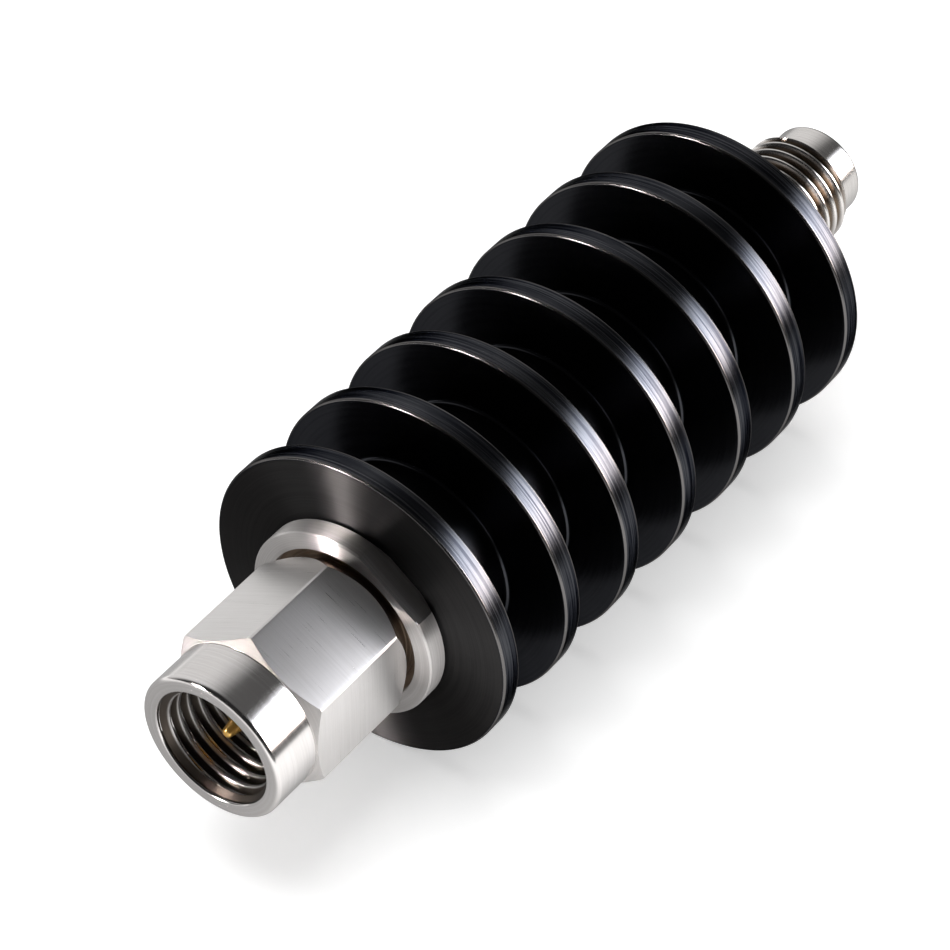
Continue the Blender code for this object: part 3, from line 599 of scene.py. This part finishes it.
def make_nut():
    front_slope = math.tan(math.radians(FRONT_CHAMFER))
    rear_slope = math.tan(math.radians(REAR_CHAMFER))
    band = math.degrees(math.acos((HEX_APOTHEM - FLAT_CROWN) / HEX_CORNER))
    extra = []
    for side in range(6):
        extra += [side * 60.0 - band, side * 60.0 + band]
    columns = columns_with(300, extra)

    def front_edge(angle):
        r = hex_radius(angle)
        return NOSE_END + (r - NOSE_RADIUS) * front_slope, r

    def rear_edge(angle):
        r = hex_radius(angle)
        return NUT_REAR - (r - NUT_REAR_FACE) * rear_slope, r

    bm = bmesh.new()
    outside = [(NUT_FRONT + MOUTH_ROUND + MOUTH_WALL, MOUTH_RADIUS)]
    outside += arc(NUT_FRONT + MOUTH_ROUND, MOUTH_RADIUS + MOUTH_ROUND, MOUTH_ROUND, 270, 180)
    outside += arc(NUT_FRONT + LIP_ROUND, NOSE_RADIUS - LIP_ROUND, LIP_ROUND, 180, 90, 8)
    outside += [(NOSE_END - NOSE_GROOVE[0], NOSE_RADIUS),
                (NOSE_END - NOSE_GROOVE[1], NOSE_RADIUS - NOSE_GROOVE_DEPTH),
                (NOSE_END - NOSE_GROOVE[2], NOSE_RADIUS - NOSE_GROOVE_DEPTH), (NOSE_END, NOSE_RADIUS),
                front_edge, rear_edge, (NUT_REAR, NUT_REAR_FACE), (NUT_REAR, NUT_BORE + NUT_BORE_CHAMFER),
                (NUT_REAR - NUT_BORE_CHAMFER, NUT_BORE), (NUT_GROOVE[1], NUT_BORE),
                (NUT_GROOVE[1], NUT_GROOVE_RADIUS),
                (NUT_GROOVE[0], NUT_GROOVE_RADIUS), (NUT_GROOVE[0], NUT_BORE), (NUT_RELIEF[1], NUT_BORE),
                (NUT_RELIEF[1], NUT_RELIEF_RADIUS), (NUT_RELIEF[0], NUT_RELIEF_RADIUS)]
    ring_rows(bm, columns, outside, False)
    helix_rows(bm, columns, NUT_FRONT + MOUTH_ROUND + MOUTH_WALL, NUT_RELIEF[0], inner_thread,
               MOUTH_RADIUS, NUT_RELIEF_RADIUS)
    nut = piece("hex_nut", bm, nut_steel, "nut", ["coupling_nut"])

    def choose(x, radius, lean):
        if lean < 0.02 and x > NOSE_END and radius > HEX_APOTHEM - FLAT_CROWN:
            return 1
        if radius > NOSE_RADIUS and x < NUT_REAR - 2.0:
            return 2
        return 3 if radius < MOUTH_RADIUS + 0.02 and x > NUT_FRONT + 0.10 else 0

    dress(nut, (flat_steel, chamfer_steel, thread_steel), choose)


# Centre conductors, beads and gasket
def conductor(reference, contact_floor, direction):
    near = reference + direction * (BEAD_SETBACK + SEAT_GAP)
    far = near + direction * BEAD_THICKNESS
    tail_end = contact_floor - direction * SEAT_GAP
    tail_start = tail_end - direction * TAIL_LENGTH
    return [(near - direction * SEAT_GAP, CORE_RADIUS), (near - direction * SEAT_GAP, CORE_WAIST),
            (far + direction * SEAT_GAP, CORE_WAIST), (far + direction * SEAT_GAP, CORE_RADIUS),
            (tail_start, CORE_RADIUS), (tail_start, TAIL_RADIUS), (tail_end, TAIL_RADIUS), (tail_end, 0.0)]


def cut_slots(socket, front):
    """Cut the socket's end along its length into four fingers."""
    length, narrow = SOCKET_SLOT
    wide = 1.5
    for half_y, half_z in ((narrow, wide), (wide, narrow)):
        slot_mesh = bmesh.new()
        bmesh.ops.create_cube(slot_mesh, size=1.0)
        bmesh.ops.scale(slot_mesh, vec=Vector((length, 2 * half_y, 2 * half_z)) * MM, verts=slot_mesh.verts)
        bmesh.ops.translate(slot_mesh, vec=Vector((front, 0, 0)) * MM, verts=slot_mesh.verts)
        mesh = bpy.data.meshes.new("slot_tool")
        slot_mesh.to_mesh(mesh)
        slot_mesh.free()
        tool = bpy.data.objects.new("slot_tool", mesh)
        bpy.context.scene.collection.objects.link(tool)
        modifier = socket.modifiers.new("slot", "BOOLEAN")
        modifier.operation = "DIFFERENCE"
        modifier.solver = "EXACT"
        modifier.object = tool
        bpy.context.view_layer.objects.active = socket
        bpy.ops.object.modifier_apply(modifier=modifier.name)
        bpy.data.objects.remove(tool, do_unlink=True)


def make_inner_parts():
    tip = [(PIN_TIP, 0.0)]
    tip += arc(PIN_TIP + PIN_TIP_ROUND, PIN_TIP_RADIUS - PIN_TIP_ROUND, PIN_TIP_ROUND, 180, 90, 8)
    tip += [(-1.55, 0.375), (-0.77, PIN_RADIUS), (0.05, PIN_RADIUS), (0.05, 0.72), (0.09, CORE_RADIUS)]
    turned("pin", tip + conductor(0.0, PLUG_CONTACT_FLOOR, 1), gold, ["plug_pin"], segments=96,
           closed=False)
    front = JACK_REFERENCE - SOCKET_SETBACK
    mouth = [(front - SOCKET_DEPTH, 0.0), (front - SOCKET_DEPTH, SOCKET_BORE),
             (front - SOCKET_EDGE, SOCKET_BORE), (front, SOCKET_MOUTH[0]), (front, SOCKET_MOUTH[1]),
             (front - SOCKET_EDGE, CORE_RADIUS)]
    socket = turned("socket", mouth + conductor(JACK_REFERENCE, JACK_CONTACT_FLOOR, -1), gold,
                    ["jack_socket"], segments=96, closed=False)
    cut_slots(socket, front)
    inner, outer = BEAD_RADII
    for name, node, reference, direction in (("front_bead", "plug_bead", 0.0, 1),
                                             ("rear_bead", "jack_bead", JACK_REFERENCE, -1)):
        near = reference + direction * (BEAD_SETBACK + SEAT_GAP)
        far = near + direction * BEAD_THICKNESS
        turned(name, [(near, inner), (near, outer), (far, outer), (far, inner)], amber, [node],
               segments=128)
    front, rear = GASKET
    round_radius = GASKET_OUTER - GASKET_ROUND
    gasket = [(rear, GASKET_BORE), (front, GASKET_BORE)]
    gasket += arc(front + GASKET_ROUND, round_radius, GASKET_ROUND, 180, 90, 4)
    gasket += arc(rear - GASKET_ROUND, round_radius, GASKET_ROUND, 90, 0, 4)
    turned("gasket", gasket, rubber, ["nut_gasket"], segments=160)


make_heat_sink()
make_plug_shell()
make_jack_shell()
make_nut()
make_inner_parts()


# Floor, world, lights and camera
FLOOR_HEIGHT = -FIN_RADIUS * MM
FLOOR_WHITE = 0.86
OPEN_LIGHT = 0.47        # of the world, on what isn't shiny
FLOOR_GLOW = 0.42        # what the floor adds for the camera, so that it is white in the open
FLOOR_GLOW_FAR = 0.65    # the same, out of the lamp's reach
BACK_LEFT = (0.584, 0.78, 0.22)      # middle of the soft light behind the part
PANEL = 28.0             # level of the tall soft box on the right, as seen in shiny surfaces
PANEL_ASIDE = (0.81, 0.587, 0)       # across the box
PANEL_AHEAD = (0.587, -0.81, 0)      # towards it
PANEL_WARM = (1.0, 0.90, 0.86, 1)
PANEL_COOL = (0.88, 0.92, 1.0, 1)
PANEL_TOP = (1.0, 0.98, 0.98, 1)
KEY = 170.0              # level of the small lamp at the left front
KEY_TOWARDS = (-0.813, 0.554, 0.180)
KEY_WARM = (1.0, 0.93, 0.91, 1)
SHADOW_SHARE = 0.6       # painted shadow: how much darker the floor beside the part is painted for shiny surfaces
FOCAL_PIXELS = 3678.76
PICTURE_PIXELS = 950.0


def make_floor():
    bm = bmesh.new()
    half = 1.5
    corners = [bm.verts.new((x, y, FLOOR_HEIGHT)) for x, y in
               ((-half, -half), (half, -half), (half, half), (-half, half))]
    bm.faces.new(corners)
    mesh = bpy.data.meshes.new("floor")
    bm.to_mesh(mesh)
    bm.free()
    floor = bpy.data.objects.new("floor", mesh)
    bpy.context.scene.collection.objects.link(floor)
    made = bpy.data.materials.new("floor")
    made.use_nodes = True
    n = Nodes(made.node_tree)
    made.node_tree.nodes.clear()
    path = n.add("ShaderNodeLightPath")
    split = n.add("ShaderNodeSeparateXYZ")
    n.link(n.add("ShaderNodeTexCoord").outputs["Object"], split.inputs[0])
    x, y = split.outputs[0], split.outputs[1]
    reflected = n.math("MAXIMUM", path.outputs["Is Glossy Ray"], path.outputs["Is Transmission Ray"])
    # Painted light and shade that only shiny surfaces see: a painted shadow under and beside the part (beside),
    # painted light brighter towards -Y and dimmer past x = 40 mm (right), and a painted dark band beyond 42 mm
    # towards -Y (edge).
    beside = n.math("MULTIPLY", n.ramp(y, -0.014, 0.004), n.ramp(y, 0.035, 0.090, 1.0, 0.0))
    beside = n.math("MULTIPLY", beside, n.ramp(x, -0.040, -0.010))
    right = n.math("MULTIPLY", n.ramp(y, -0.025, 0.0, 1.25, 1.0), n.ramp(x, 0.040, 0.065, 1.0, 0.7))
    edge = n.ramp(y, -0.062, -0.042, 0.12, 1.0)
    shaded = n.math("SUBTRACT", 1.0, n.math("MULTIPLY", beside, SHADOW_SHARE))
    share = n.math("MULTIPLY", n.math("MULTIPLY", right, edge), shaded)
    share = n.math("ADD", n.math("SUBTRACT", 1.0, reflected), n.math("MULTIPLY", reflected, share))
    tone = n.add("ShaderNodeCombineXYZ")
    for socket in tone.inputs:
        n.link(n.math("MULTIPLY", share, FLOOR_WHITE), socket)
    diffuse = n.add("ShaderNodeBsdfDiffuse")
    n.link(tone.outputs[0], diffuse.inputs["Color"])
    glow = n.add("ShaderNodeEmission")
    seen = n.math("MAXIMUM", path.outputs["Is Camera Ray"], reflected)
    away = n.math("SQRT", n.math("ADD", n.math("MULTIPLY", x, x), n.math("MULTIPLY", y, y)))
    level = n.ramp(away, 0.12, 0.60, FLOOR_GLOW, FLOOR_GLOW_FAR)
    n.link(n.math("MULTIPLY", n.math("MULTIPLY", seen, share), level), glow.inputs["Strength"])
    both = n.add("ShaderNodeAddShader")
    n.link(diffuse.outputs[0], both.inputs[0])
    n.link(glow.outputs[0], both.inputs[1])
    output = n.add("ShaderNodeOutputMaterial")
    n.link(both.outputs[0], output.inputs["Surface"])
    mesh.materials.append(made)


def make_world():
    """White for the camera, an even grey for light, and a studio for what shiny surfaces show."""
    world = bpy.data.worlds.new("studio")
    bpy.context.scene.world = world
    world.use_nodes = True
    n = Nodes(world.node_tree)
    world.node_tree.nodes.clear()
    towards = n.add("ShaderNodeTexCoord").outputs["Generated"]
    height = n.dot(towards, (0, 0, 1))

    back_left = n.ramp(n.dot(towards, BACK_LEFT), 0.38, 0.92, 0.0, 0.94)
    along = n.dot(towards, (1, 0, 0))
    behind = n.ramp(n.dot(towards, (0, 1, 0)), -0.4, 0.0)
    horizon = n.math("MULTIPLY", n.ramp(height, 0.05, 0.30, 0.5, 0.0), behind)
    horizon = n.math("MULTIPLY", horizon, n.ramp(along, -0.3, 0.3))
    sky = n.math("MAXIMUM", n.math("MAXIMUM", back_left, horizon), n.ramp(along, -0.2, 0.4, 0.02, 0.12))

    aside = n.math("ABSOLUTE", n.dot(towards, PANEL_ASIDE))
    ahead = n.ramp(n.dot(towards, PANEL_AHEAD), 0.0, 0.2)
    rise = n.math("MULTIPLY", n.ramp(height, -0.01, 0.19), n.ramp(height, 0.30, 0.56, 1.0, 0.55))
    rise = n.math("MULTIPLY", rise, n.ramp(height, 0.54, 0.665, 1.0, 0.0))
    panel = n.math("MULTIPLY", n.math("MULTIPLY", n.ramp(aside, 0.20, 0.42, 1.0, 0.0), ahead), rise)
    panel_tint = n.mix(n.ramp(height, 0.20, 0.56), PANEL_WARM, PANEL_COOL)
    panel_tint = n.mix(n.ramp(height, 0.58, 0.66), panel_tint, PANEL_TOP)

    key = n.ramp(n.dot(towards, KEY_TOWARDS), 0.9960, 0.9990)

    def background(colour, strength):
        node = n.add("ShaderNodeBackground")
        if isinstance(colour, tuple):
            node.inputs["Color"].default_value = colour
        else:
            n.link(colour, node.inputs["Color"])
        if isinstance(strength, float):
            node.inputs["Strength"].default_value = strength
        else:
            n.link(strength, node.inputs["Strength"])
        return node.outputs[0]

    def total(*shaders):
        result = shaders[0]
        for shader_output in shaders[1:]:
            node = n.add("ShaderNodeAddShader")
            n.link(result, node.inputs[0])
            n.link(shader_output, node.inputs[1])
            result = node.outputs[0]
        return result

    studio = total(background((1, 1, 1, 1), sky), background(panel_tint, n.math("MULTIPLY", panel, PANEL)),
                   background(KEY_WARM, n.math("MULTIPLY", key, KEY)))
    path = n.add("ShaderNodeLightPath")
    camera = path.outputs["Is Camera Ray"]
    plain = background((1, 1, 1, 1), n.math("ADD", OPEN_LIGHT, n.math("MULTIPLY", camera, 1.0 - OPEN_LIGHT)))
    choose = n.add("ShaderNodeMixShader")
    n.link(n.math("MAXIMUM", path.outputs["Is Glossy Ray"], path.outputs["Is Transmission Ray"]),
           choose.inputs[0])
    n.link(plain, choose.inputs[1])
    n.link(studio, choose.inputs[2])
    output = n.add("ShaderNodeOutputWorld")
    n.link(choose.outputs[0], output.inputs["Surface"])


def soft_lamp(name, direction, distance, size, power):
    """A round lamp that lights the floor and what isn't shiny."""
    data = bpy.data.lights.new(name, "AREA")
    data.shape = "DISK"
    data.size = size
    data.energy = power
    lamp = bpy.data.objects.new(name, data)
    bpy.context.scene.collection.objects.link(lamp)
    middle = Vector((0.022, 0, 0))
    position = middle + Vector(direction).normalized() * distance
    turn = (middle - position).to_track_quat("-Z", "Y").to_matrix().to_4x4()
    lamp.matrix_world = Matrix.Translation(position) @ turn
    lamp.visible_camera = False
    lamp.visible_glossy = False


def make_camera():
    right = Vector((0.58823, -0.80871, 0.0))
    down = Vector((-0.55932, -0.40682, -0.72226))
    forward = Vector((0.58408, 0.42488, -0.69162))
    seen_from = Vector((-0.086011, -0.074809, 0.123180))
    data = bpy.data.cameras.new("camera")
    data.sensor_width = 36.0
    data.lens = FOCAL_PIXELS / PICTURE_PIXELS * data.sensor_width
    data.clip_start = 0.005
    data.clip_end = 20.0
    camera = bpy.data.objects.new("camera", data)
    bpy.context.scene.collection.objects.link(camera)
    turn = Matrix((right, -down, -forward)).transposed().to_4x4()
    camera.matrix_world = Matrix.Translation(seen_from) @ turn
    bpy.context.scene.camera = camera


make_floor()
make_world()
soft_lamp("top_lamp", (-0.04, 0.19, 0.97), 0.40, 0.34, 1.15)
make_camera()
bpy.context.scene.view_settings.view_transform = "Standard"
